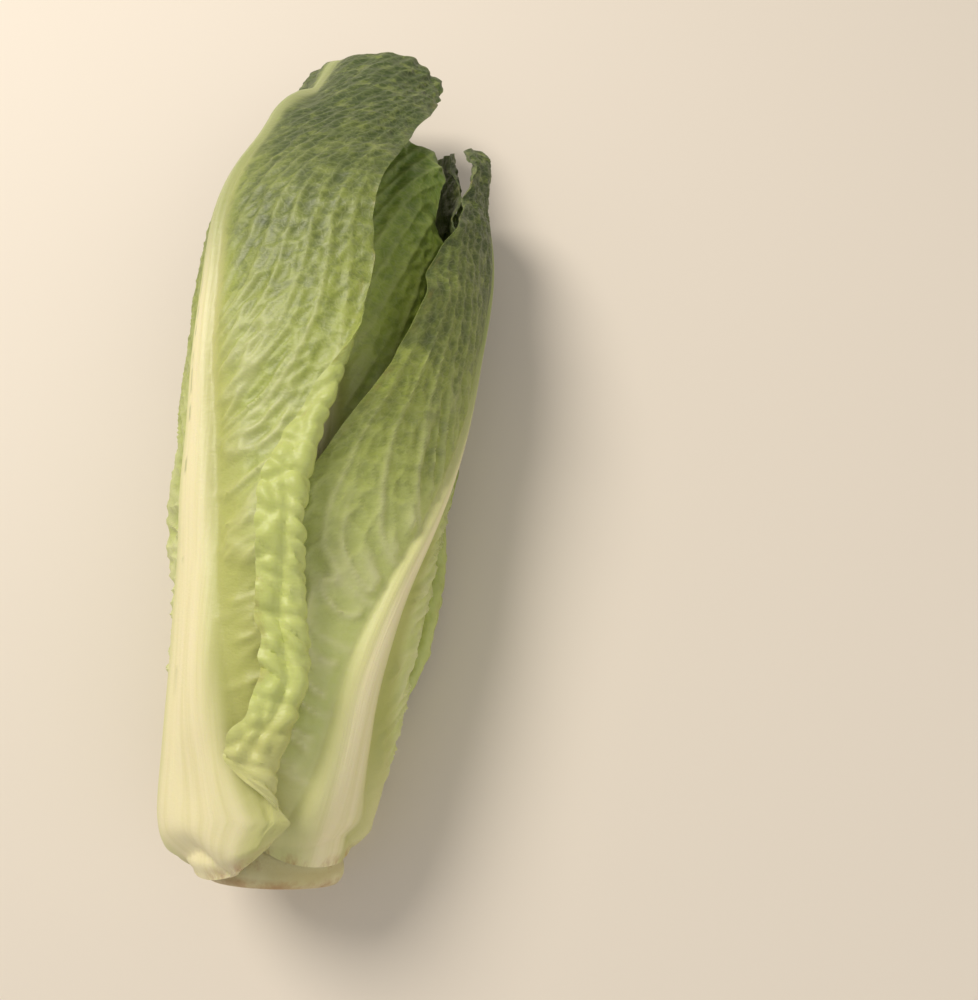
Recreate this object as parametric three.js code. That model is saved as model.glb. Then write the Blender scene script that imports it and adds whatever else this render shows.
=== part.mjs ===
// A romaine lettuce head lying on its side: twelve leaves wrapped round a short cut stem.
// Millimetres. The head runs along +Y from its cut butt to its leaf tips, +Z is up, and it rests on z = 0.
// Each leaf is laid over the leaves inside it, from the heart outwards, so that no two of them touch.
import * as THREE from "three";

// Driving dimensions.
const HEAD_LENGTH = 281; // butt to the tip of the longest leaf
const LEAF_COUNT = 12;
const TURN = 137.5; // degrees from one leaf to the next, going inwards
const FIRST_ANGLE = 122; // where the outermost leaf's rib stands; 0 is +X and 90 is up
const BUTT_GAP = 1.5; // from the cut face to the lowest leaf
const RISE = 1.6; // from the outermost leaf's foot to the next
const LONGEST_HALF_WIDTH = 54; // of the outermost leaf, measured round the head
const SHORTEST_HALF_WIDTH = 24;
const BLADE = 0.9; // blade thickness
const CLEARANCE = 1.2; // between one leaf and the next
const ROLL_RADIUS = 2.6; // of a leaf edge that turns back on itself
const MOST_WRAP = 150; // degrees that a blade reaches round the head on each side of its rib
const PRESS = 1.7; // how far the belly is pressed flat by the surface under it
const THINNEST = 0.8; // what the pressed blade keeps of its thickness
const STEM_TOP = 50;
const STEM_RINGS = 12;
const STEM_SIDES = 24;

// Half the head's width along its length, and its height as a share of its width.
const HALF_WIDTHS = [
  [0, 11],
  [14, 17],
  [34, 26],
  [62, 31],
  [110, 39],
  [150, 45],
  [190, 48],
  [222, 41],
  [252, 32],
  [282, 27],
];
const FLATNESS = [
  [0, 1],
  [40, 0.95],
  [110, 0.86],
  [190, 0.79],
  [240, 0.68],
  [290, 0.52],
];
const AXIS_HEIGHTS = [
  [0, 24],
  [40, 28.5],
  [110, 34.8],
  [180, 36],
  [235, 28],
  [290, 14],
];
const STEM_RADII = [
  [0, 16.5],
  [2, 17.8],
  [9, 17],
  [20, 12.5],
  [36, 7],
  [STEM_TOP, 0],
];

// The field holds how far out the head reaches so far, by station along it and by angle round it.
const FIELD_STEP = 3;
const FIELD_ROWS = Math.ceil(HEAD_LENGTH / FIELD_STEP) + 4;
const FIELD_COLS = 96;

const radians = THREE.MathUtils.degToRad;
const ramp = (low, high, x) => THREE.MathUtils.smoothstep(x, low, high);
const mix = THREE.MathUtils.lerp;

// A smooth curve through [station, value] points.
function along(points, y) {
  const last = points.length - 1;
  if (y <= points[0][0]) return points[0][1];
  if (y >= points[last][0]) return points[last][1];
  const i = points.findIndex((p, n) => y < points[n + 1][0]);
  const slope = (n) => {
    const before = points[Math.max(n - 1, 0)];
    const after = points[Math.min(n + 1, last)];
    return (after[1] - before[1]) / (after[0] - before[0]);
  };
  const span = points[i + 1][0] - points[i][0];
  const t = (y - points[i][0]) / span;
  const s = 1 - t;
  return (
    points[i][1] * s * s * (1 + 2 * t) +
    points[i + 1][1] * t * t * (3 - 2 * t) +
    slope(i) * span * t * s * s -
    slope(i + 1) * span * t * t * s
  );
}

function makeField() {
  return Array.from({ length: FIELD_ROWS }, () => new Float64Array(FIELD_COLS));
}

function readField(field, y, angle) {
  const row = THREE.MathUtils.clamp(y / FIELD_STEP, 0, FIELD_ROWS - 1.001);
  const col = THREE.MathUtils.euclideanModulo((angle / (2 * Math.PI)) * FIELD_COLS, FIELD_COLS);
  const r = Math.floor(row);
  const c = Math.floor(col);
  const next = (c + 1) % FIELD_COLS;
  return mix(
    mix(field[r][c], field[r][next], col - c),
    mix(field[r + 1][c], field[r + 1][next], col - c),
    row - r,
  );
}

// Each cell takes the largest, or the mean, of the cells round it.
function spread(field, rows, cols, useMean) {
  const out = makeField();
  for (let r = 0; r < FIELD_ROWS; r++)
    for (let c = 0; c < FIELD_COLS; c++) {
      let most = 0;
      let sum = 0;
      let count = 0;
      for (let i = Math.max(r - rows, 0); i <= Math.min(r + rows, FIELD_ROWS - 1); i++)
        for (let j = c - cols; j <= c + cols; j++) {
          const value = field[i][(j + FIELD_COLS) % FIELD_COLS];
          most = Math.max(most, value);
          sum += value;
          count++;
        }
      out[r][c] = useMean ? sum / count : most;
    }
  return out;
}

// A smooth skin just outside everything in the field.
function skinOver(field) {
  return spread(spread(field, 3, 2, false), 2, 2, true);
}

// What sets one leaf apart from the next. Leaf 0 is the outermost.
function describeLeaf(k) {
  const depth = k / (LEAF_COUNT - 1);
  const leaf = {
    depth,
    base: BUTT_GAP + RISE * k ** 1.3,
    tip: HEAD_LENGTH - 12 * Math.min(k, 1) - 104 * depth ** 1.7 - 5 * (k % 3),
    halfWidth: mix(LONGEST_HALF_WIDTH, SHORTEST_HALF_WIDTH, depth ** 0.8),
    angle: radians(FIRST_ANGLE + TURN * k),
    twist: radians(k % 2 ? -7 : 6),
    twistFrom: 0, // the shares of its length where the twist begins and ends
    twistBy: 0.5,
    tipTwist: 0, // a second twist near the tip
    share: mix(0.94, 0.19, depth), // how far out it stands where nothing pushes it
    rollRight: 0, // how wide a strip of each edge turns back
    rollLeft: 0,
    ribSize: mix(1, 0.5, depth), // the rib's width, as a share of a full rib's
    waves: 5 + (k % 3),
    waveHeight: mix(4, 1, depth),
    footWidth: 0.42, // the foot's width as a share of the widest part
    footRise: mix(13, 5, depth), // how much higher the foot's sides leave the stem than its middle
    openTo: 0.9, // the share of its full width that the blade reaches by openBy of its length
    openBy: 0.3,
    crownKeep: 0.66, // the crown's width as a share of the widest part
    crownDrop: 0.72, // how far its sides fall back from the tip, as a share of its half width
    crownMiddle: 0, // where the highest point of the crown stands, from -1 to 1 across
    flare: mix(2, 0.5, depth), // how far the crown leans out
  };
  leaf.length = leaf.tip - leaf.base;
  return leaf;
}

const leaves = Array.from({ length: LEAF_COUNT }, (_, k) => describeLeaf(k));
Object.assign(leaves[0], {
  angle: radians(127),
  twist: radians(10),
  tipTwist: radians(-9),
  ribSize: 1.3,
  share: 0.9,
  waveHeight: 2.5,
  rollRight: 14,
  footWidth: 0.29,
  openTo: 0.71,
  openBy: 0.18,
  crownKeep: 0.92,
  crownDrop: 0.4,
  crownMiddle: -0.3,
  flare: 1,
});
Object.assign(leaves[1], { rollLeft: 8 });
Object.assign(leaves[2], {
  angle: radians(46),
  twist: radians(-54),
  twistFrom: 0.15,
  twistBy: 0.65,
  ribSize: 0.62,
  share: 0.93,
  length: leaves[2].length - 18,
});
Object.assign(leaves[3], { angle: radians(195) });

// Half the blade's width, from its clasping foot to its broad round crown.
function bladeHalfWidth(leaf, v) {
  const { footWidth, openTo, openBy } = leaf;
  const opening = mix(footWidth, openTo, ramp(0, openBy, v)) + (1 - openTo) * ramp(0.2, 0.62, v);
  return leaf.halfWidth * opening * mix(1, leaf.crownKeep, ramp(0.68, 1, v));
}

function ribHalfWidth(leaf, v) {
  return leaf.ribSize * (1 + 11.5 * (1 - v) ** 2.2 + 4 * (1 - v) ** 14);
}

function bladeThickness(leaf, across, v) {
  const size = mix(1, 0.3, leaf.depth ** 0.6);
  const foot = mix(1, ramp(-0.03, 0.1, v), Math.min(4 * leaf.depth, 1));
  const ribHeight = size * foot * (0.6 + 4.3 * (1 - v) ** 1.1);
  const x = Math.min(Math.abs(across) / ribHalfWidth(leaf, v), 1);
  return BLADE + ribHeight * (1 - x ** 3.4) ** 1.4;
}

function rollWidth(leaf, side, v) {
  return (side > 0 ? leaf.rollLeft : leaf.rollRight) * ramp(-0.02, 0.12, v) * (1 - ramp(0.3, 0.66, v));
}

function stemRadius(y) {
  return along(STEM_RADII, y);
}

// How far a round end falls back at u of the way from its middle to its side.
const roundOff = (u) => 1 - Math.sqrt(1 - 0.97 * u * u);

// A point of a leaf as {y, angle, radius}. u runs -1 to 1 across it and v 0 to 1 along it.
// face is -1 for its inner face and 1 for its outer one.
function leafPoint(leaf, u, v, face) {
  const side = Math.sign(u) || 1;
  const half = bladeHalfWidth(leaf, v);
  const across = Math.abs(u) * half;
  const crownSpan = u < leaf.crownMiddle ? 1 + leaf.crownMiddle : 1 - leaf.crownMiddle;
  const offMiddle = (u - leaf.crownMiddle) / crownSpan;
  const crown = leaf.crownDrop * bladeHalfWidth(leaf, 1) * roundOff(offMiddle);
  const y = leaf.base + leaf.length * v - crown * v ** 3 + leaf.footRise * roundOff(u) * (1 - v) ** 8;

  // Past the flat part the edge turns back over a small radius.
  const roll = rollWidth(leaf, side, v);
  const turn = THREE.MathUtils.clamp((across - (half - roll)) / ROLL_RADIUS, 0, Math.PI);
  const back = Math.max(across - (half - roll) - Math.PI * ROLL_RADIUS, 0);
  const thickness = bladeThickness(leaf, across, v);
  const offset = (face * thickness) / 2;
  const reach = Math.min(across, half - roll) + (ROLL_RADIUS - offset) * Math.sin(turn) - back;
  const height = thickness / 2 + ROLL_RADIUS - (ROLL_RADIUS - offset) * Math.cos(turn);

  // The edge waves, more towards the crown, and the crown leans out a little.
  const wave = 0.5 + 0.5 * Math.sin(2 * Math.PI * leaf.waves * v + side * 1.3 + leaf.angle * 3);
  const ruffle = 0.5 + 0.5 * Math.sin(7.5 * u + leaf.angle * 5);
  const lift =
    CLEARANCE * (1 + 0.3 * leaf.depth) +
    leaf.waveHeight * wave * Math.abs(u) ** 3 * ramp(0.05, 0.5, v) +
    (leaf.flare + leaf.waveHeight * ruffle) * ramp(0.8, 1, v);

  const free = leaf.share * along(HALF_WIDTHS, y);
  const twisted = leaf.twist * ramp(leaf.twistFrom, leaf.twistBy, v) + leaf.tipTwist * ramp(0.6, 1, v);
  const turned = leaf.angle + twisted;
  const wrap = reach / Math.max(free, stemRadius(y) + 2);
  const most = radians(MOST_WRAP);
  const angle = turned + side * most * Math.tanh(wrap / most);
  const core = Math.max(stemRadius(y), stemRadius(y - 3)) - 0.6;
  const rest = Math.max(readField(leaf.bed, y, angle), core);
  return { y, angle, radius: softMax(rest, free, 6) + lift + height, face };
}

// The larger of two lengths, rounded over where they are nearly equal.
function softMax(a, b, round) {
  const gap = Math.max(round - Math.abs(a - b), 0) / round;
  return Math.max(a, b) + (gap * gap * round) / 4;
}

// Lays each leaf on the ones inside it, from the heart outwards.
function wrapLeaves() {
  const head = makeField();
  for (const leaf of [...leaves].reverse()) {
    leaf.bed = skinOver(head);
    for (let i = 0; i <= 240; i++)
      for (let j = -60; j <= 60; j++)
        for (const face of [-1, 1]) {
          const p = leafPoint(leaf, j / 60, i / 240, face);
          const row = Math.round(p.y / FIELD_STEP);
          const turns = p.angle / (2 * Math.PI);
          const col = Math.round((turns - Math.floor(turns)) * FIELD_COLS) % FIELD_COLS;
          head[row][col] = Math.max(head[row][col], p.radius);
        }
  }
  return skinOver(head);
}

const outside = wrapLeaves();

// From {y, angle, radius} to the part's own frame, with the belly pressed against the surface.
function place({ y, angle, radius, face = 1 }) {
  const flat = along(FLATNESS, y);
  const centre = along(AXIS_HEIGHTS, y);
  const down = -Math.sin(angle) * flat * readField(outside, y, angle);
  const squash = down > 1 ? Math.min((centre + PRESS) / down, 1) : 1;
  const x = radius * squash * Math.cos(angle);
  const z = centre + radius * squash * flat * Math.sin(angle);
  return new THREE.Vector3(x, y, Math.max(z, face < 0 ? THINNEST : 0));
}

// A closed solid between two grids of points with the same rows and columns.
function shellGeometry(rows, cols, point) {
  const positions = [];
  for (const face of [-1, 1])
    for (let i = 0; i <= rows; i++)
      for (let j = 0; j <= cols; j++) positions.push(...point(i / rows, j / cols, face).toArray());
  const inner = (i, j) => i * (cols + 1) + j;
  const outer = (i, j) => inner(i, j) + (rows + 1) * (cols + 1);
  const index = [];
  const quad = (a, b, c, d) => index.push(a, b, c, a, c, d);
  for (let i = 0; i < rows; i++)
    for (let j = 0; j < cols; j++) {
      const [a, b, c, d] = [outer(i, j), outer(i, j + 1), outer(i + 1, j + 1), outer(i + 1, j)];
      const [e, f, g, h] = [inner(i, j), inner(i, j + 1), inner(i + 1, j + 1), inner(i + 1, j)];
      index.push(a, c, b, a, d, c);
      index.push(e, f, g, e, g, h);
    }
  for (let j = 0; j < cols; j++) {
    quad(inner(0, j), outer(0, j), outer(0, j + 1), inner(0, j + 1));
    quad(outer(rows, j), inner(rows, j), inner(rows, j + 1), outer(rows, j + 1));
  }
  for (let i = 0; i < rows; i++) {
    quad(outer(i, 0), inner(i, 0), inner(i + 1, 0), outer(i + 1, 0));
    quad(inner(i, cols), outer(i, cols), outer(i + 1, cols), inner(i + 1, cols));
  }
  const geometry = new THREE.BufferGeometry();
  geometry.setAttribute("position", new THREE.Float32BufferAttribute(positions, 3));
  geometry.setIndex(index);
  return geometry;
}

// Columns crowd on the rib, and on the fold where an edge turns back.
function columnAt(leaf, t, v) {
  const x = Math.abs(2 * t - 1);
  const side = Math.sign(2 * t - 1);
  const half = bladeHalfWidth(leaf, v);
  const rib = Math.min(ribHalfWidth(leaf, v) / half, 0.6);
  const plain = along([[0, 0], [0.4, Math.max(rib, 0.22)], [1, 1]], x);
  const roll = rollWidth(leaf, side, v);
  if (!roll) return side * plain;
  const start = 1 - roll / half;
  const end = start + Math.min(Math.PI * ROLL_RADIUS, 0.6 * roll) / half;
  const folded = along([[0, 0], [0.38, start], [0.78, end], [1, 1]], x);
  return side * mix(plain, folded, ramp(0, 12, roll));
}

// Rows crowd a little towards the foot and the crown.
function rowAt(t) {
  return mix(t, 0.5 - 0.5 * Math.cos(Math.PI * t), 0.5);
}

function leafGeometry(leaf, rows, cols) {
  return shellGeometry(rows, cols, (s, t, face) =>
    place(leafPoint(leaf, columnAt(leaf, t, rowAt(s)), rowAt(s), face)),
  );
}

function stemGeometry() {
  const outline = [new THREE.Vector2(0, 0)];
  for (let i = 0; i <= STEM_RINGS; i++) {
    const y = (STEM_TOP * i) / STEM_RINGS;
    outline.push(new THREE.Vector2(Math.max(stemRadius(y), 0), y));
  }
  const geometry = new THREE.LatheGeometry(outline, STEM_SIDES);
  const positions = geometry.getAttribute("position");
  const p = new THREE.Vector3();
  for (let i = 0; i < positions.count; i++) {
    p.fromBufferAttribute(positions, i);
    const placed = place({ y: p.y, angle: Math.atan2(p.z, p.x), radius: Math.hypot(p.x, p.z) });
    positions.setXYZ(i, placed.x, placed.y, placed.z);
  }
  return geometry;
}

function material(color, roughness) {
  return new THREE.MeshStandardMaterial({ color, roughness, metalness: 0 });
}

const KINDS = [
  { name: "outer_leaf", count: 5, rows: 27, cols: 16, finish: material(0x7f9a45, 0.5) },
  { name: "middle_leaf", count: 4, rows: 18, cols: 12, finish: material(0xa6bb66, 0.5) },
  { name: "heart_leaf", count: 3, rows: 13, cols: 10, finish: material(0xd3d493, 0.5) },
];

const head = new THREE.Group();

const stem = new THREE.Mesh(stemGeometry(), material(0xe6dfc0, 0.6));
stem.name = "stem";
head.add(stem);

let k = 0;
for (const kind of KINDS)
  for (let n = 1; n <= kind.count; n++) {
    const leaf = new THREE.Mesh(leafGeometry(leaves[k], kind.rows, kind.cols), kind.finish);
    leaf.name = `${kind.name}_${n}`;
    head.add(leaf);
    k++;
  }

// The origin is under the middle of the head.
const bounds = new THREE.Box3().setFromObject(head);
const centre = bounds.getCenter(new THREE.Vector3());
head.position.set(-centre.x, -centre.y, 0);

export default head;
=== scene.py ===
"""A romaine lettuce head lying on its side on a plain pale floor, seen from above its butt end."""
import math

import bpy
import numpy as np
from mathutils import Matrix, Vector


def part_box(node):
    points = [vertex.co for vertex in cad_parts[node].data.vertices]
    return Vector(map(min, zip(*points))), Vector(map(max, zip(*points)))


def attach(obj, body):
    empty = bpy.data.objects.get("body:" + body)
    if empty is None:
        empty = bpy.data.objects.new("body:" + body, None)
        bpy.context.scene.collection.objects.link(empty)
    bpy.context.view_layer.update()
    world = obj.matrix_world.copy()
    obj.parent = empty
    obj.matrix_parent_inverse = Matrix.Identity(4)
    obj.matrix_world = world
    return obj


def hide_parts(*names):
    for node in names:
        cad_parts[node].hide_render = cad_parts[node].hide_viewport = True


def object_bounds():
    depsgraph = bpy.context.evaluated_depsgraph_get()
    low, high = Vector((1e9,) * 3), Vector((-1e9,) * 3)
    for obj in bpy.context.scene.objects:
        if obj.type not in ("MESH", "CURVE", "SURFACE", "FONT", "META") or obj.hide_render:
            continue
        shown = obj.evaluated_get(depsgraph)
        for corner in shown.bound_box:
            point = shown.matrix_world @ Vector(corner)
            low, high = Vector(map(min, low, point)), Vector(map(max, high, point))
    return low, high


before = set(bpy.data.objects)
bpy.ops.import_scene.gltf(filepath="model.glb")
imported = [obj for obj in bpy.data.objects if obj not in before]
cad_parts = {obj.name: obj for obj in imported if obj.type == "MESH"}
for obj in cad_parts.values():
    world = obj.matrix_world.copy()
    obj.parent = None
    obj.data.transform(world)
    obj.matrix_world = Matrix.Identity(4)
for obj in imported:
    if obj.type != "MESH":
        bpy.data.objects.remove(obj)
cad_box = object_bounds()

# The head's driving values, lengths in millimetres. The leaves are laid as the part's own are, in
# finer steps.
MM = 0.001
HEAD_LENGTH = round((cad_box[1][1] - cad_box[0][1]) / MM)
LEAF_COUNT = 12
TURN = 137.5
FIRST_ANGLE = 122
BUTT_GAP = 1.5
RISE = 1.6
LONGEST_HALF_WIDTH = 54
SHORTEST_HALF_WIDTH = 24
BLADE = 0.9
CLEARANCE = 1.2
ROLL_RADIUS = 2.6
MOST_WRAP = math.radians(150)
PRESS = 1.7
THINNEST = 0.8
BED_BLEND = 6
STEM_TOP = 50
CUT_SHARE = 0.4
CUT_DISH = 0.9
SCAR_DEPTH = 0.4

HALF_WIDTHS = [
    (0, 11), (14, 17), (34, 26), (62, 31), (110, 39),
    (150, 45), (190, 48), (222, 41), (252, 32), (282, 27),
]
FLATNESS = [(0, 1), (40, 0.95), (110, 0.86), (190, 0.79), (240, 0.68), (290, 0.52)]
AXIS_HEIGHTS = [(0, 24), (40, 28.5), (110, 34.8), (180, 36), (235, 28), (290, 14)]
STEM_RADII = [(0, 16.5), (2, 17.8), (9, 17), (20, 12.5), (36, 7), (STEM_TOP, 0)]

# How far out the head reaches so far, by station along it and by angle round it.
FIELD_STEP = 3
FIELD_ROWS = math.ceil(HEAD_LENGTH / FIELD_STEP) + 4
FIELD_COLS = 96

# Surface relief, lengths in millimetres. Cells are a blade's blisters, lobes are the larger ones of its
# fold, and RIDGES is how many ridges half a rib has.
VEIN_SPACING = 13
VEIN_HEIGHT = 0.55
CELL = (7.5, 5.0)
LOBE = (11.0, 9.0)
RIDGES = 1.6
RIDGE_HEIGHT = 0.24
CREST_HEIGHT = 0.9
GROOVE_DEPTH = 0.8
GROOVE_PLACE = 8.8
GROOVE_WANDER = 1.4
SWELL_HEIGHT = 0.45
BUCKLE_HEIGHT = 0.95
FOOT_FOLD_HEIGHT = 0.55

# How far the outline strays, as a share of the width at the sides and in millimetres at the crown.
SIDE_RAGGED = 0.02
FOLD_RAGGED = 0.035
CROWN_RAGGED = 1.6

# The share of its thickness that a leaf keeps at its rim and at its foot.
RIM_KEEPS = 0.55
FOOT_KEEPS = 0.5

# Faces that meet at less than this are shaded as one surface.
LEAF_SMOOTH = math.radians(55)
STEM_SMOOTH = math.radians(50)

# How far light scatters in the finishes and how high their finest bumps stand, in metres.
SCATTER = 0.003
BUMP_HEIGHT = 0.0004
BUMP_STRENGTH = 0.4


def ramp(low, high, x):
    t = np.clip((x - low) / (high - low), 0, 1)
    return t * t * (3 - 2 * t)


def mix(a, b, t):
    return a + (b - a) * t


def along(points, y):
    """A smooth curve through (station, value) points."""
    stations = np.array([p[0] for p in points], float)
    values = np.array([p[1] for p in points], float)
    last = len(points) - 1
    before = np.maximum(np.arange(last + 1) - 1, 0)
    after = np.minimum(np.arange(last + 1) + 1, last)
    slopes = (values[after] - values[before]) / (stations[after] - stations[before])
    y = np.clip(y, stations[0], stations[-1])
    i = np.clip(np.searchsorted(stations, y, side="right") - 1, 0, last - 1)
    span = stations[i + 1] - stations[i]
    t = (y - stations[i]) / span
    s = 1 - t
    ends = values[i] * s * s * (1 + 2 * t) + values[i + 1] * t * t * (3 - 2 * t)
    return ends + span * t * s * (slopes[i] * s - slopes[i + 1] * t)


def spline_weights(t):
    """The four weights of a smooth curve past evenly spaced values."""
    return (
        (1 - t) ** 3 / 6,
        (3 * t**3 - 6 * t**2 + 4) / 6,
        (-3 * t**3 + 3 * t**2 + 3 * t + 1) / 6,
        t**3 / 6,
    )


def read_field(field, y, angle):
    row = np.clip(y / FIELD_STEP, 0, FIELD_ROWS - 1.001)
    col = (angle / math.tau * FIELD_COLS) % FIELD_COLS
    r = np.floor(row).astype(int)
    c = np.floor(col).astype(int)
    total = 0
    for i, row_weight in enumerate(spline_weights(row - r)):
        rows = np.clip(r + i - 1, 0, FIELD_ROWS - 1)
        for j, col_weight in enumerate(spline_weights(col - c)):
            total = total + row_weight * col_weight * field[rows, (c + j - 1) % FIELD_COLS]
    return total


def neighbours(field, rows, cols):
    """The field shifted to each cell within so many rows and columns."""
    padded = np.pad(field, ((rows, rows), (0, 0)), mode="edge")
    return np.array([
        np.roll(padded[rows + i:rows + i + FIELD_ROWS], j, axis=1)
        for i in range(-rows, rows + 1)
        for j in range(-cols, cols + 1)
    ])


def skin_over(field):
    return neighbours(neighbours(field, 3, 2).max(axis=0), 2, 2).mean(axis=0)


# Seeded tables for noise and for the puffed cells of a blade.
rng = np.random.default_rng(17)
NOISE_SIZE = 64
NOISE_GAIN = 3.2
noise_table = rng.random((8, NOISE_SIZE, NOISE_SIZE))
cell_table = rng.random((2, NOISE_SIZE, NOISE_SIZE))


def noise(x, y, layer):
    """Smooth noise from -1 to 1, with a step of one unit."""
    i = np.floor(x).astype(int)
    j = np.floor(y).astype(int)
    total = 0
    for a, wa in enumerate(spline_weights(x - i)):
        for b, wb in enumerate(spline_weights(y - j)):
            total = total + wa * wb * noise_table[layer % 8, (i + a) % NOISE_SIZE, (j + b) % NOISE_SIZE]
    return (total - 0.5) * NOISE_GAIN


def cells(x, y):
    """How far each point is inside its own cell: 0 on a crease between cells, 1 well inside."""
    i = np.floor(x).astype(int)
    j = np.floor(y).astype(int)
    nearest = np.full(x.shape, 9.0)
    second = np.full(x.shape, 9.0)
    for a in (-1, 0, 1):
        for b in (-1, 0, 1):
            dx, dy = cell_table[:, (i + a) % NOISE_SIZE, (j + b) % NOISE_SIZE]
            distance = np.hypot(i + a + dx - x, j + b + dy - y)
            second = np.minimum(second, np.maximum(nearest, distance))
            nearest = np.minimum(nearest, distance)
    inside = np.clip((second - nearest) / 0.7, 0, 1)
    return 1 - (1 - inside) ** 2.2


class Leaf:
    """What sets one leaf apart from the next. Leaf 0 is the outermost."""

    def __init__(self, k):
        depth = k / (LEAF_COUNT - 1)
        self.k = k
        self.depth = depth
        self.base = BUTT_GAP + RISE * k**1.3
        self.tip = HEAD_LENGTH - 12 * min(k, 1) - 104 * depth**1.7 - 5 * (k % 3)
        self.length = self.tip - self.base
        self.half_width = mix(LONGEST_HALF_WIDTH, SHORTEST_HALF_WIDTH, depth**0.8)
        self.angle = math.radians(FIRST_ANGLE + TURN * k)
        self.twist = math.radians(-7 if k % 2 else 6)
        self.twist_from = 0
        self.twist_by = 0.5
        self.tip_twist = 0
        self.share = mix(0.94, 0.19, depth)
        self.roll_right = 0
        self.roll_left = 0
        self.rib_size = mix(1, 0.5, depth)
        self.waves = 5 + k % 3
        self.wave_height = mix(4, 1, depth)
        self.foot_width = 0.42
        self.foot_rise = mix(13, 5, depth)
        self.open_to = 0.9
        self.open_by = 0.3
        self.crown_keep = 0.66
        self.crown_drop = 0.72
        self.crown_middle = 0
        self.flare = mix(2, 0.5, depth)

        # How strongly the blisters, the crown's veins, the rib's ridges and its green line show.
        self.puff = 1.0 if k < 6 else 0.6
        self.crown_veins = 0.95
        self.ridged = 1.0
        self.lined = 0.0

    def blade_half_width(self, v):
        opening = mix(self.foot_width, self.open_to, ramp(0, self.open_by, v))
        opening = opening + (1 - self.open_to) * ramp(0.2, 0.62, v)
        return self.half_width * opening * mix(1, self.crown_keep, ramp(0.68, 1, v))

    def rib_half_width(self, v):
        return self.rib_size * (1 + 11.5 * (1 - v) ** 2.2 + 4 * (1 - v) ** 14)

    def rib_height(self, v):
        foot = mix(1, ramp(-0.03, 0.1, v), min(4 * self.depth, 1))
        return mix(1, 0.3, self.depth**0.6) * foot * (0.6 + 4.3 * (1 - v) ** 1.1)

    def roll_width(self, side, v):
        full = np.where(side > 0, self.roll_left, self.roll_right)
        return full * ramp(-0.02, 0.12, v) * (1 - ramp(0.3, 0.66, v))


leaves = [Leaf(k) for k in range(LEAF_COUNT)]
leaves[0].angle = math.radians(127)
leaves[0].twist = math.radians(10)
leaves[0].tip_twist = math.radians(-9)
leaves[0].rib_size = 1.3
leaves[0].share = 0.9
leaves[0].wave_height = 2.5
leaves[0].roll_right = 14
leaves[0].foot_width = 0.29
leaves[0].open_to = 0.71
leaves[0].open_by = 0.18
leaves[0].crown_keep = 0.92
leaves[0].crown_drop = 0.4
leaves[0].crown_middle = -0.3
leaves[0].flare = 1
leaves[0].ridged = 0.45
leaves[0].lined = 1.0
leaves[0].crown_veins = 0.42
leaves[1].roll_left = 8
leaves[2].angle = math.radians(46)
leaves[2].twist = math.radians(-54)
leaves[2].twist_from = 0.15
leaves[2].twist_by = 0.65
leaves[2].rib_size = 0.62
leaves[2].share = 0.93
leaves[2].ridged = 0.5
leaves[2].crown_veins = 0.5
leaves[2].length -= 18
leaves[3].angle = math.radians(195)


def stem_radius(y):
    return along(STEM_RADII, y)


def round_off(u):
    """How far a round end falls back at u of the way from its middle to its side."""
    return 1 - np.sqrt(1 - 0.97 * np.clip(u * u, 0, 1))


def soft_max(a, b, width):
    gap = np.maximum(width - np.abs(a - b), 0) / width
    return np.maximum(a, b) + gap * gap * width / 4


def lay(leaf, u, v, face, relief=0, margin=0, thin=1):
    """Points of a leaf as (y, angle, radius).

    u runs -1 to 1 across, v 0 to 1 along, and face is -1 inside, 1 outside. relief moves both faces
    outward, margin lifts the edge, and thin is the share of its thickness that is kept."""
    side = np.where(u < 0, -1, 1)
    half = leaf.blade_half_width(v)
    across = np.abs(u) * half
    middle = leaf.crown_middle
    off_middle = (u - middle) / np.where(u < middle, 1 + middle, 1 - middle)
    crown = leaf.crown_drop * leaf.blade_half_width(1.0) * round_off(off_middle)
    y = leaf.base + leaf.length * v - crown * v**3 + leaf.foot_rise * round_off(u) * (1 - v) ** 8

    roll = leaf.roll_width(side, v)
    turn = np.clip((across - (half - roll)) / ROLL_RADIUS, 0, math.pi)
    back = np.maximum(across - (half - roll) - math.pi * ROLL_RADIUS, 0)
    x = np.minimum(across / leaf.rib_half_width(v), 1)
    thickness = (BLADE + leaf.rib_height(v) * (1 - x**3.4) ** 1.4) * thin
    offset = face * thickness / 2 + relief
    reach = np.minimum(across, half - roll) + (ROLL_RADIUS - offset) * np.sin(turn) - back
    height = thickness / 2 + ROLL_RADIUS - (ROLL_RADIUS - offset) * np.cos(turn)

    wave = 0.5 + 0.5 * np.sin(math.tau * leaf.waves * v + side * 1.3 + leaf.angle * 3)
    ruffle = 0.5 + 0.5 * np.sin(7.5 * u + leaf.angle * 5)
    lift = (
        CLEARANCE * (1 + 0.3 * leaf.depth)
        + leaf.wave_height * wave * np.abs(u) ** 3 * ramp(0.05, 0.5, v)
        + (leaf.flare + leaf.wave_height * ruffle) * ramp(0.8, 1, v)
        + margin
    )
    free = leaf.share * along(HALF_WIDTHS, y)
    turned = leaf.angle + leaf.twist * ramp(leaf.twist_from, leaf.twist_by, v)
    turned = turned + leaf.tip_twist * ramp(0.6, 1, v)
    wrap = reach / np.maximum(free, stem_radius(y) + 2)
    angle = turned + side * MOST_WRAP * np.tanh(wrap / MOST_WRAP)
    core = np.maximum(stem_radius(y), stem_radius(y - 3)) - 0.6
    rest = np.maximum(read_field(leaf.bed, y, angle), core)
    return y, angle, soft_max(rest, free, BED_BLEND) + lift + height


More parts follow.
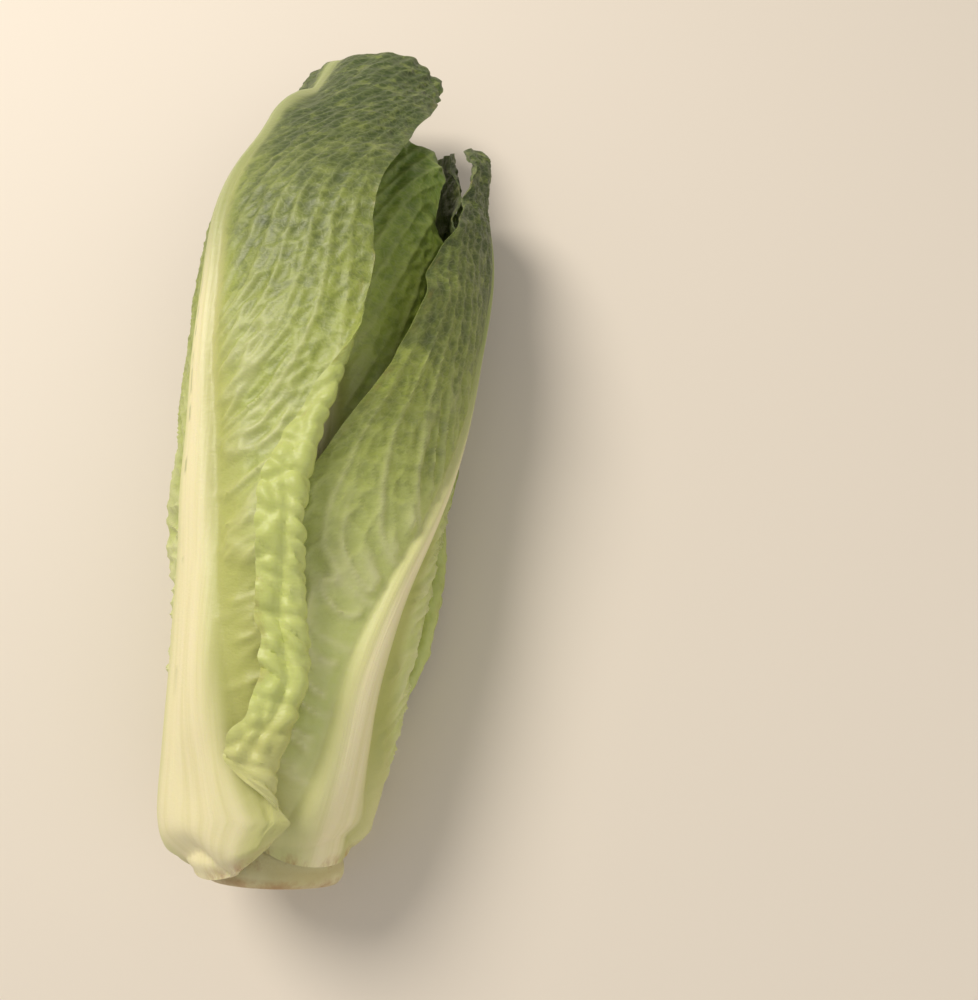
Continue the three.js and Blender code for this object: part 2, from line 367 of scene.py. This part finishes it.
def wrap_leaves():
    """Lays each leaf on the ones inside it, heart first, and returns the skin of the whole head."""
    head = np.zeros((FIELD_ROWS, FIELD_COLS))
    u, v = np.meshgrid(np.linspace(-1, 1, 121), np.linspace(0, 1, 241))
    for leaf in reversed(leaves):
        leaf.bed = skin_over(head)
        for face in (-1, 1):
            y, angle, radius = lay(leaf, u, v, face)
            rows = np.round(y / FIELD_STEP).astype(int)
            cols = np.round(angle / math.tau * FIELD_COLS).astype(int) % FIELD_COLS
            np.maximum.at(head, (rows, cols), radius)
    return skin_over(head)


outside = wrap_leaves()
stem_low, stem_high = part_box("stem")
SHIFT = np.array([(stem_low[0] + stem_high[0]) / 2, stem_low[1], 0])


def place(y, angle, radius, face=1):
    """Points in metres in the part's frame, with the belly pressed against the floor."""
    flat = along(FLATNESS, y)
    centre = along(AXIS_HEIGHTS, y)
    down = -np.sin(angle) * flat * read_field(outside, y, angle)
    squash = np.where(down > 1, np.minimum((centre + PRESS) / np.maximum(down, 1), 1), 1)
    x = radius * squash * np.cos(angle)
    z = centre + radius * squash * flat * np.sin(angle)
    z = np.maximum(z, np.where(face < 0, THINNEST, 0))
    return np.stack([x, y, z], axis=-1) * MM + SHIFT


def relief_of(leaf, u, v):
    """The surface relief of a leaf, in millimetres, and the masks that its finish reads."""
    half = leaf.blade_half_width(v)
    across = u * half
    a = np.abs(across)
    side = np.where(u < 0, -1, 1)
    s = leaf.length * v
    rib_half = leaf.rib_half_width(v)
    x = a / rib_half
    pale_half = rib_half * mix(1, 1.5, ramp(0.35, 0.6, v))
    soft = ramp(0.35, 0.8, v)
    pale_from = -mix(0.5, 1.0, soft) * rib_half - 0.3
    pale_to = mix(0.3, 0.9, soft) * rib_half + 0.6
    rib = 1 - ramp(pale_from, pale_to, a - pale_half)
    off_rib = ramp(0, 12, a - rib_half)

    # Side veins leave the rib nearly square to it low down, and lean along it more towards the crown.
    rise = mix(0.22, 2.7, ramp(0.2, 0.95, v))
    start = s - rise * a - 0.004 * a * a + 5 * noise(across / 18, s / 24, leaf.k)
    start = start + mix(0.6, 2.2, ramp(0.4, 0.9, v)) * noise(across / 7, s / 8, leaf.k + 4)
    order = start / VEIN_SPACING + 0.37 * side + 0.3 * np.sin(start / 21 + leaf.k)
    part = order - np.floor(order)
    distance = np.minimum(part, 1 - part) * VEIN_SPACING / np.sqrt(1 + rise * rise)
    width = mix(1.2, 0.4, a / half)
    strength = 0.7 + 0.3 * noise(order * 0.7 + 3, a / 30, leaf.k + 3)
    uneven = leaf.crown_veins + 0.3 * noise(across / 9, s / 13, leaf.k + 6)
    strength = strength * mix(1, uneven, ramp(0.4, 0.75, v))
    between_edges = ramp(-1, 2, a - rib_half * 0.9) * (1 - ramp(0.8, 1, np.abs(u)))
    vein = np.exp(-((distance / width) ** 2)) * between_edges * strength

    inside = cells(across / CELL[0] + 7.3 * leaf.k, (s - 0.7 * a) / CELL[1] + 3.1 * leaf.k)
    lobe = cells(across / LOBE[0] + 2.7 * leaf.k, s / LOBE[1] + 5.9 * leaf.k)
    between = (4 * part * (1 - part)) ** 0.6
    puff = (0.25 * between + 0.75 * inside * (0.5 + 0.5 * between)) * off_rib * ramp(0.03, 0.2, v)

    roll = leaf.roll_width(side, v)
    on_fold = ramp(-4, 4, a - (half - roll)) * ramp(2, 14, roll)
    puff = mix(puff, np.maximum(0.8 * inside + 0.4 * lobe, 0.22), on_fold)
    past_turn = a - (half - roll)
    fold_puff = mix(1.2, 2.2, ramp(3, 9, past_turn))
    puff_height = leaf.puff * mix(1, fold_puff, on_fold) * mix(1, 1.3, ramp(0.6, 0.95, v))

    # A groove sets a narrow curled margin off from the rest of the fold.
    groove_at = GROOVE_PLACE + GROOVE_WANDER * noise(s / 11, x * 0 + 2, 2)
    grooved = on_fold * ramp(0.04, 0.1, v) * (1 - ramp(0.3, 0.4, v))
    groove = np.exp(-((past_turn - groove_at) ** 2)) * grooved
    puff = puff * (1 - 0.6 * groove)

    # Low down, beside the rib, the blade is crumpled into sharp pale crests that lie nearly across it.
    beside_rib = ramp(1, 4, a - rib_half) * (1 - ramp(14, 30, a - rib_half))
    crumpled = beside_rib * ramp(0.04, 0.14, v) * (1 - ramp(0.45, 0.7, v))
    crumple = noise(across / 11 + 4, start / 2.5, leaf.k + 2)
    crumple = crumple + 0.5 * noise(across / 6, start / 2.1 + 9, leaf.k)
    crest = (1 - np.clip(np.abs(crumple), 0, 1)) ** 3 * crumpled * (1 - on_fold)
    vein = np.maximum(vein * (1 - 0.6 * on_fold), crest)
    ridges = np.cos(math.tau * RIDGES * x + 1.5 * noise(s / 40, x, 3))
    ridges = ridges * (0.7 + 0.3 * noise(s / 25, x * 2, 6))
    ridges = ridges * leaf.ridged * rib * np.clip(leaf.rib_height(v) / 4, 0.15, 1)
    buckle = noise(across / 7.5, (s - 0.8 * a) / 8.5, leaf.k + 7) * off_rib * ramp(0.5, 0.85, v)
    foot_fold = noise(across / 3.5, s / 22, leaf.k + 5)
    foot_fold = foot_fold * ramp(0, 3, a - 0.8 * rib_half) * (1 - ramp(0.06, 0.2, v))
    relief = (
        VEIN_HEIGHT * vein
        - puff_height * (puff - 0.35)
        + RIDGE_HEIGHT * ridges
        + CREST_HEIGHT * crest
        + GROOVE_DEPTH * groove
        + SWELL_HEIGHT * noise(across / 19, s / 26, leaf.k + 1) * off_rib
        + BUCKLE_HEIGHT * buckle
        + FOOT_FOLD_HEIGHT * foot_fold
    )
    across_rib = np.clip(across / rib_half, -3, 3)
    dashes = ramp(-0.1, 0.3, noise(s / 2.6, x * 0, 5)) * ramp(0.12, 0.25, v) * (1 - ramp(0.5, 0.7, v))
    line = leaf.lined * dashes * np.exp(-(((across_rib - 0.12) / 0.06) ** 2))
    return {
        "relief": relief, "rib": rib, "vein": vein, "puff": puff, "fold": on_fold,
        "across": across, "along": s, "across_rib": across_rib, "line": line,
    }


def margin_lift(leaf, u, v):
    """Small ruffles of the leaf's edge and crown, which only lean outward."""
    s = leaf.length * v
    side = np.where(u < 0, -1, 1)
    size = mix(1.5, 0.5, leaf.depth)
    edge = np.abs(u) ** 7 * ramp(0.25, 0.6, v)
    beat = s / 13 + side * 0.3 + 0.8 * noise(s / 31, side + u * 0, leaf.k + 2)
    crown_beat = u * leaf.half_width / 11 + 0.6 * noise(u * 3, v, leaf.k + 4)
    crown = ramp(0.9, 1, v)
    edge_wave = edge * (0.5 + 0.5 * np.sin(math.tau * beat))
    crown_wave = crown * (0.5 + 0.5 * np.sin(math.tau * crown_beat))
    return size * (edge_wave + crown_wave)


def select_only(piece):
    bpy.ops.object.select_all(action="DESELECT")
    piece.select_set(True)
    bpy.context.view_layer.objects.active = piece


def read_points(mesh):
    points = np.empty(len(mesh.vertices) * 3)
    mesh.vertices.foreach_get("co", points)
    return points.reshape(-1, 3)


def write_points(mesh, points):
    mesh.vertices.foreach_set("co", np.ascontiguousarray(points, dtype=np.float32).ravel())
    mesh.update()


def write_attribute(mesh, name, values):
    layer = mesh.attributes.new(name, "FLOAT", "POINT")
    layer.data.foreach_set("value", np.ascontiguousarray(values, dtype=np.float32).ravel())


def write_place(mesh, name, across, s):
    """Where each point lies on its own leaf, in centimetres, for the patterns that follow the leaf."""
    layer = mesh.attributes.new(name, "FLOAT_VECTOR", "POINT")
    places = np.stack([across, s, np.zeros_like(across)], axis=-1) / 10
    layer.data.foreach_set("vector", np.ascontiguousarray(places, dtype=np.float32).ravel())


def make_leaf(leaf, node, slot, rows, cols, finish):
    """A grid, extruded to two faces joined all round, and laid on the leaves inside it."""
    bpy.ops.object.select_all(action="DESELECT")
    bpy.ops.mesh.primitive_grid_add(x_subdivisions=cols, y_subdivisions=rows, size=2)
    piece = bpy.context.object
    piece.name = f"{node}_blade"
    bpy.ops.object.mode_set(mode="EDIT")
    bpy.ops.mesh.select_all(action="SELECT")
    bpy.ops.mesh.extrude_region_move(TRANSFORM_OT_translate={"value": (0, 0, 1)})
    bpy.ops.object.mode_set(mode="OBJECT")
    mesh = piece.data
    points = read_points(mesh)

    # The columns stand closer together near the rib.
    x = -points[:, 0]
    u = np.sign(x) * np.abs(x) ** 1.25
    v = (points[:, 1] + 1) / 2
    face = np.where(points[:, 2] > 0.5, 1, -1)

    # The outline is a little ragged, and the blade thins to its edge.
    s = leaf.length * v
    surface = relief_of(leaf, u, v)
    at_edge = np.abs(u) ** 4
    ragged = 1 + at_edge * (SIDE_RAGGED * noise(s / 8, np.sign(u) + 3, leaf.k) - SIDE_RAGGED)
    ragged = ragged + at_edge * surface["fold"] * FOLD_RAGGED * noise(s / 4.5, np.sign(u) + 6, leaf.k)
    rim = np.maximum(ramp(0.86, 1, np.abs(u)), ramp(0.985, 1, v))
    y, angle, radius = lay(
        leaf, u * ragged, v, face,
        relief=surface["relief"] * (1 - 0.6 * rim * (1 - surface["fold"])),
        margin=margin_lift(leaf, u, v),
        thin=mix(1, RIM_KEEPS, rim) * mix(FOOT_KEEPS, 1, ramp(0, 4, s)),
    )
    y = y + ramp(0.97, 1, v) * CROWN_RAGGED * noise(u * leaf.half_width / 7, v * 0, leaf.k + 5)
    write_points(mesh, place(np.minimum(y, HEAD_LENGTH), angle, radius, face))

    for name in ("rib", "across_rib", "line", "vein", "puff"):
        write_attribute(mesh, name, surface[name])
    green = ramp(0.1, 1.0, v + 0.06 * noise(surface["across"] / 14, s / 18, leaf.k + 6))
    write_attribute(mesh, "green", green)
    write_attribute(mesh, "rim", rim)
    write_attribute(mesh, "foot", 1 - ramp(0, 3.5, s))
    write_attribute(mesh, "low", 1 - ramp(0.02, 0.16, v))
    write_attribute(mesh, "inner", (face < 0) * 1.0)
    write_attribute(mesh, "fold", surface["fold"])
    write_place(mesh, "leaf_place", surface["across"], surface["along"])
    mesh.materials.append(finish)
    select_only(piece)
    bpy.ops.object.shade_smooth_by_angle(angle=LEAF_SMOOTH)
    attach(piece, "root")
    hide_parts(node)


def make_stem(finish):
    """A sphere's rings, spread over the cut face and the side, so the core is closed at both ends."""
    bpy.ops.object.select_all(action="DESELECT")
    bpy.ops.mesh.primitive_uv_sphere_add(segments=96, ring_count=72, radius=1)
    piece = bpy.context.object
    piece.name = "stem_core"
    mesh = piece.data
    points = read_points(mesh)
    turn = np.arctan2(points[:, 1], points[:, 0])
    t = 1 - np.arccos(np.clip(points[:, 2], -1, 1)) / math.pi

    # The first part of the way is the cut face, and the rest is the side.
    on_side = t >= CUT_SHARE
    cut = np.clip(t / CUT_SHARE, 0, 1)
    y = np.clip((t - CUT_SHARE) / (1 - CUT_SHARE), 0, 1) * STEM_TOP
    wobble = 1 + 0.03 * noise(np.cos(turn) * 1.5 + 9, np.sin(turn) * 1.5 + 9, 2)
    radius = np.where(on_side, stem_radius(y), cut * stem_radius(0)) * wobble
    rough = noise(np.cos(turn) * cut * 6 + 20, np.sin(turn) * cut * 6 + 20, 5)
    dish = CUT_DISH * (1 - ramp(0, 0.75, cut)) + 0.18 * rough
    scar = noise(y / 2.6 + 5 + 0.8 * np.sin(turn * 2), turn * 0 + 1, 6)
    scar = scar + 0.5 * noise(turn * 3, y / 1.7, 4)
    groove = np.where(on_side, SCAR_DEPTH * ramp(0, 2.5, y) * scar, 0)
    y = np.where(on_side, y, dish * (1 - ramp(0.9, 1, cut)))
    write_points(mesh, place(y, turn, np.maximum(radius + groove, 0)))
    write_attribute(mesh, "cut", 1 - ramp(CUT_SHARE - 0.02, CUT_SHARE + 0.02, t))
    write_attribute(mesh, "ring", cut)
    write_attribute(mesh, "edge", np.where(on_side, 1 - ramp(0, 3, y), ramp(0.9, 1, cut)))
    write_attribute(mesh, "scar", np.where(on_side, ramp(-0.4, 0.5, scar), 0.5))
    mesh.materials.append(finish)
    select_only(piece)
    bpy.ops.object.mode_set(mode="EDIT")
    bpy.ops.mesh.select_all(action="SELECT")
    bpy.ops.mesh.normals_make_consistent(inside=False)
    bpy.ops.object.mode_set(mode="OBJECT")
    bpy.ops.object.shade_smooth_by_angle(angle=STEM_SMOOTH)
    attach(piece, "root")
    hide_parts("stem")


class Wire:
    """A socket of a finish. Sums on it add Math nodes."""

    def __init__(self, finish, socket):
        self.finish = finish
        self.socket = socket

    def math(self, operation, *values):
        return self.finish.node("ShaderNodeMath", {"operation": operation}, dict(enumerate(values)))

    def __add__(self, other):
        return self.math("ADD", self, other)

    def __radd__(self, other):
        return self.math("ADD", other, self)

    def __sub__(self, other):
        return self.math("SUBTRACT", self, other)

    def __rsub__(self, other):
        return self.math("SUBTRACT", other, self)

    def __mul__(self, other):
        return self.math("MULTIPLY", self, other)

    def __rmul__(self, other):
        return self.math("MULTIPLY", other, self)

    def ramp(self, low, high):
        """0 below low, 1 above high, and smooth between."""
        settings = {"interpolation_type": "SMOOTHSTEP"}
        inputs = {"Value": self, "From Min": low, "From Max": high}
        return self.finish.node("ShaderNodeMapRange", settings, inputs)


class Finish:
    """A material, and the one way that nodes are added to it."""

    def __init__(self, name, **constants):
        self.material = bpy.data.materials.new(name)
        self.material.use_nodes = True
        self.tree = self.material.node_tree
        self.shader = self.tree.nodes["Principled BSDF"]
        for socket, value in constants.items():
            self.shader.inputs[socket.replace("_", " ")].default_value = value

    def node(self, kind, settings=None, inputs=None, output=0):
        node = self.tree.nodes.new(kind)
        for name, value in (settings or {}).items():
            setattr(node, name, value)
        for name, value in (inputs or {}).items():
            self.feed(node.inputs[name], value)
        return Wire(self, node.outputs[output])

    def feed(self, socket, value):
        if isinstance(value, Wire):
            self.tree.links.new(value.socket, socket)
        else:
            socket.default_value = value

    def surface(self, socket, value):
        self.feed(self.shader.inputs[socket], value)

    def attribute(self, name, output="Fac"):
        return self.node("ShaderNodeAttribute", {"attribute_name": name}, output=output)

    def blend(self, factor, a, b, kind="MIX"):
        """Colour a where factor is 0 and b where it is 1."""
        settings = {"data_type": "RGBA", "blend_type": kind, "clamp_factor": True}
        return self.node("ShaderNodeMix", settings, {0: factor, 6: a, 7: b}, output=2)

    def stretched(self, place, scale):
        return self.node("ShaderNodeMapping", {}, {"Vector": place, "Scale": scale})

    def noise(self, place, scale, detail=3, roughness=0.55):
        inputs = {"Vector": place, "Scale": scale, "Detail": detail, "Roughness": roughness}
        return self.node("ShaderNodeTexNoise", {}, inputs, output="Fac")

    def creases(self, place, scale):
        """Distance from the borders between small cells."""
        settings = {"feature": "DISTANCE_TO_EDGE"}
        inputs = {"Vector": place, "Scale": scale}
        return self.node("ShaderNodeTexVoronoi", settings, inputs, output="Distance")

    def bump(self, height):
        inputs = {"Height": height, "Strength": BUMP_STRENGTH, "Distance": BUMP_HEIGHT}
        return self.node("ShaderNodeBump", {}, inputs)


def colour(red, green, blue):
    """An sRGB colour, 0 to 255, as linear red, green, blue and alpha."""
    shares = [red / 255, green / 255, blue / 255]
    linear = [c / 12.92 if c <= 0.04045 else ((c + 0.055) / 1.055) ** 2.4 for c in shares]
    return (*linear, 1)


# Colours that all leaves share. Each kind of leaf has a pale, a middle and a dark colour of its own too.
PALE_VEIN = colour(234, 232, 182)
DEEP_VEIN = colour(138, 150, 92)
INNER_FACE = colour(206, 216, 150)
FOLDED_EDGE = colour(200, 208, 112)
RIB_CREAM = colour(244, 234, 188)
RIB_STREAK = colour(222, 214, 150)
RIB_GREEN_SIDE = colour(206, 208, 134)
RIB_LINE = colour(122, 138, 66)
RIB_TOP = colour(136, 152, 82)
RIB_KHAKI_SIDE = colour(180, 182, 98)
LOW_BLADE = colour(226, 222, 162)
FOOT_BRUISE = colour(172, 124, 78)
RIM_BROWN = colour(158, 132, 72)

# Colours of the stem, from the middle of its cut face outwards, and then of its side.
CUT_MIDDLE = colour(230, 226, 188)
CUT_RING = colour(212, 204, 146)
CUT_OUTER = colour(226, 214, 168)
CUT_BORDER = colour(186, 142, 92)
CUT_STAIN = colour(164, 112, 66)
SIDE_CREAM = colour(232, 224, 180)
SIDE_CLOUD = colour(206, 200, 136)
SIDE_SCAR = colour(188, 172, 112)
SIDE_STAIN = colour(178, 136, 90)
BORDER_STAIN = colour(170, 120, 74)


def leaf_finish(name, pale, middle, dark, crown):
    """A waxy leaf: cream rib with long streaks, pale veins, and a blade that deepens towards its crown.

    crown is how far towards the dark colour the top of the blade goes."""
    f = Finish(
        name,
        Subsurface_Weight=0.18,
        Subsurface_Radius=(0.8, 1.0, 0.35),
        Subsurface_Scale=SCATTER,
        Specular_IOR_Level=0.45,
        Coat_Roughness=0.25,
    )
    place = f.attribute("leaf_place", "Vector")
    rib = f.attribute("rib")
    vein = f.attribute("vein")
    puff = f.attribute("puff")
    green = f.attribute("green")
    rim = f.attribute("rim")
    foot = f.attribute("foot")
    inner = f.attribute("inner")

    patches = f.noise(place, 0.9, 4)
    specks = f.noise(place, 6.0, 3)
    net = 1 - f.creases(f.stretched(place, (1.0, 1.35, 1.0)), 3.2).ramp(0.0, 0.12)
    # The hollows of the blisters, where puff is high, are painted a little darker green as shade in
    # them.
    depth = green * crown + (patches - 0.5) * 0.22 * crown + (puff - 0.5) * 0.14 * crown
    blade = f.blend(depth.ramp(0.0, 0.5), pale, middle)
    blade = f.blend(depth.ramp(0.42, 0.95), blade, dark)
    blade = f.blend((specks - 0.5) * 0.5 + 0.25, blade, middle, "SOFT_LIGHT")
    mottle = f.noise(place, 1.9, 6, 0.72)
    blade = f.blend(mottle.ramp(0.46, 0.62) * green * crown * 0.75, blade, dark)
    blade = f.blend((1 - mottle.ramp(0.34, 0.5)) * green * crown * 0.45, blade, middle)

    vein_colour = f.blend(green * crown, PALE_VEIN, DEEP_VEIN)
    blade = f.blend(net * 0.22 * green, blade, vein_colour)
    blade = f.blend(vein * (0.6 - 0.3 * green), blade, vein_colour)
    blade = f.blend(inner * 0.16, blade, INNER_FACE)
    blade = f.blend(rim * 0.25 * green, blade, dark)
    blade = f.blend(f.attribute("fold") * 0.35, blade, FOLDED_EDGE)

    # The rib is cream along its middle, khaki on one side and pale green on the other. A broken green
    # line runs along the outermost one.
    streaks = f.noise(f.stretched(place, (5.5, 0.14, 1.0)), 1.0, 3, 0.6)
    bands = f.noise(f.stretched(place, (1.2, 0.05, 1.0)), 1.0, 2, 0.5)
    across_rib = f.attribute("across_rib")
    lean = across_rib + (bands - 0.5) * 1.1
    cream = f.blend(streaks.ramp(0.4, 0.75) * 0.5, RIB_CREAM, RIB_STREAK)
    cream = f.blend(lean.ramp(0.0, 0.45) * 0.6, cream, RIB_GREEN_SIDE)
    cream = f.blend(f.attribute("line") * 0.6, cream, RIB_LINE)
    cream = f.blend(green.ramp(0.3, 0.8) * (0.75 + 0.35 * (streaks - 0.5)), cream, RIB_TOP)
    whole = f.blend(rib, blade, cream)
    flank = (1 - lean.ramp(-0.95, -0.3)) * (1 - (0 - across_rib).ramp(1.5, 2.8)) * (1 - green)
    whole = f.blend(flank * 0.85, whole, RIB_KHAKI_SIDE)
    whole = f.blend(f.attribute("low") * (1 - rib) * 0.8, whole, LOW_BLADE)
    bruise = f.noise(f.stretched(place, (2.2, 1.0, 1.0)), 1.0, 5, 0.65)
    whole = f.blend(bruise.ramp(0.42, 0.7) * foot * 0.8, whole, FOOT_BRUISE)
    whole = f.blend(bruise.ramp(0.52, 0.68) * rim * rim * 0.35, whole, RIM_BROWN)
    f.surface("Base Color", whole)
    f.surface("Roughness", 0.5 - 0.04 * rib + (specks - 0.5) * 0.14 - 0.04 * puff)
    f.surface("Coat Weight", 0.05 + 0.06 * rib)

    fibres = f.noise(f.stretched(place, (16.0, 0.5, 1.0)), 1.0, 2) * rib
    wrinkles = f.noise(f.stretched(place, (2.8, 4.6, 1.0)), 1.0, 4, 0.6) * (1 - rib)
    height = net * 0.3 * green + wrinkles * 1.4 + f.noise(place, 14.0, 3) * 0.4 + fibres * 0.9
    f.surface("Normal", f.bump(height))
    return f.material


def stem_finish():
    """Moist pale core, with a darker ring and tan stains where it was cut."""
    f = Finish(
        "cut_stem",
        Subsurface_Weight=0.2,
        Subsurface_Radius=(0.9, 0.8, 0.5),
        Subsurface_Scale=SCATTER,
    )
    place = f.node("ShaderNodeTexCoord", output="Object")
    cut = f.attribute("cut")
    ring = f.attribute("ring")
    stain = f.noise(place, 210.0, 6, 0.65)
    cloud = f.noise(place, 70.0, 3)
    ring = ring + (cloud - 0.5) * 0.5
    face = f.blend(ring.ramp(0.3, 0.6), CUT_MIDDLE, CUT_RING)
    face = f.blend(ring.ramp(0.62, 0.78), face, CUT_OUTER)
    face = f.blend(ring.ramp(0.86, 1.02) * 0.7, face, CUT_BORDER)
    face = f.blend(stain.ramp(0.52, 0.78) * 0.7, face, CUT_STAIN)
    side = f.blend(cloud.ramp(0.35, 0.7) * 0.6, SIDE_CREAM, SIDE_CLOUD)
    side = f.blend((1 - f.attribute("scar")) * 0.55, side, SIDE_SCAR)
    side = f.blend(stain.ramp(0.58, 0.75) * 0.5, side, SIDE_STAIN)
    side = f.blend(f.attribute("edge") * stain.ramp(0.35, 0.6) * 0.8, side, BORDER_STAIN)
    f.surface("Base Color", f.blend(cut, side, face))
    f.surface("Roughness", 0.45 + (stain - 0.5) * 0.3)
    f.surface("Normal", f.bump(f.noise(place, 900.0, 3)))
    return f.material


def plain_finish(name, tint, roughness):
    f = Finish(name)
    place = f.node("ShaderNodeTexCoord", output="Object")
    f.surface("Base Color", tint)
    f.surface("Roughness", f.noise(place, 6.0, 2) * 0.08 + roughness)
    return f.material


def add_camera():
    """Close above the butt end, as the head was seen: the lens is short, so near things look large."""
    lens = 28.04
    sensor_width = 36
    nearest = 0.01
    spot = Vector((0.056, -0.1105, 0.252))
    elevation = math.radians(70.7)
    heading = math.radians(3.2)
    forward = Vector((
        -math.sin(heading) * math.cos(elevation),
        math.cos(heading) * math.cos(elevation),
        -math.sin(elevation),
    ))
    data = bpy.data.cameras.new("camera")
    data.lens = lens
    data.sensor_width = sensor_width
    data.clip_start = nearest
    camera = bpy.data.objects.new("camera", data)
    camera.location = spot
    camera.rotation_euler = forward.to_track_quat("-Z", "Y").to_euler()
    bpy.context.scene.collection.objects.link(camera)
    bpy.context.scene.camera = camera


def add_light(name, spot, target, size, power, tint):
    data = bpy.data.lights.new(name, "AREA")
    data.shape = "DISK"
    data.size = size
    data.energy = power
    data.color = tint
    lamp = bpy.data.objects.new(name, data)
    lamp.location = spot
    lamp.rotation_euler = (Vector(target) - Vector(spot)).to_track_quat("-Z", "Y").to_euler()
    bpy.context.scene.collection.objects.link(lamp)


def add_studio():
    bpy.ops.object.select_all(action="DESELECT")
    bpy.ops.mesh.primitive_plane_add(size=8)
    floor = bpy.context.object
    floor.name = "floor"
    floor.data.materials.append(plain_finish("pale_floor", colour(232, 222, 208), 0.6))
    middle = (0, 0, 0.04)
    add_light("key", spot=(-0.6, 0.5, 1.0), target=middle, size=0.6, power=12, tint=(1.0, 0.94, 0.85))
    add_light("fill", spot=(0.9, -0.5, 0.9), target=middle, size=1.2, power=3, tint=(1.0, 0.96, 0.9))
    world = bpy.data.worlds.new("studio")
    world.use_nodes = True
    sky = world.node_tree.nodes["Background"]
    sky.inputs["Color"].default_value = (1.0, 0.97, 0.93, 1)
    sky.inputs["Strength"].default_value = 0.38
    bpy.context.scene.world = world
    bpy.context.scene.view_settings.view_transform = "Standard"


add_camera()
add_studio()

outer = leaf_finish(
    "outer_leaf", colour(206, 214, 140), colour(160, 170, 86), colour(66, 80, 36), 1.0
)
middle = leaf_finish(
    "middle_leaf", colour(218, 218, 140), colour(172, 188, 88), colour(98, 122, 46), 0.8
)
heart = leaf_finish(
    "heart_leaf", colour(230, 226, 154), colour(204, 208, 118), colour(156, 172, 78), 0.6
)

# Rows and columns of each leaf's grid. The leaves that show most have the finest.
SHOWN = {0: (330, 140), 2: (250, 150), 1: (190, 100), 3: (190, 100), 4: (190, 100), 5: (230, 130)}
KINDS = [
    ("outer_leaf", 5, (190, 100), outer),
    ("middle_leaf", 4, (130, 60), middle),
    ("heart_leaf", 3, (100, 50), heart),
]

k = 0
for kind, count, grid, finish in KINDS:
    for n in range(1, count + 1):
        make_leaf(leaves[k], f"{kind}_{n}", kind, *SHOWN.get(k, grid), finish)
        k += 1
make_stem(stem_finish())
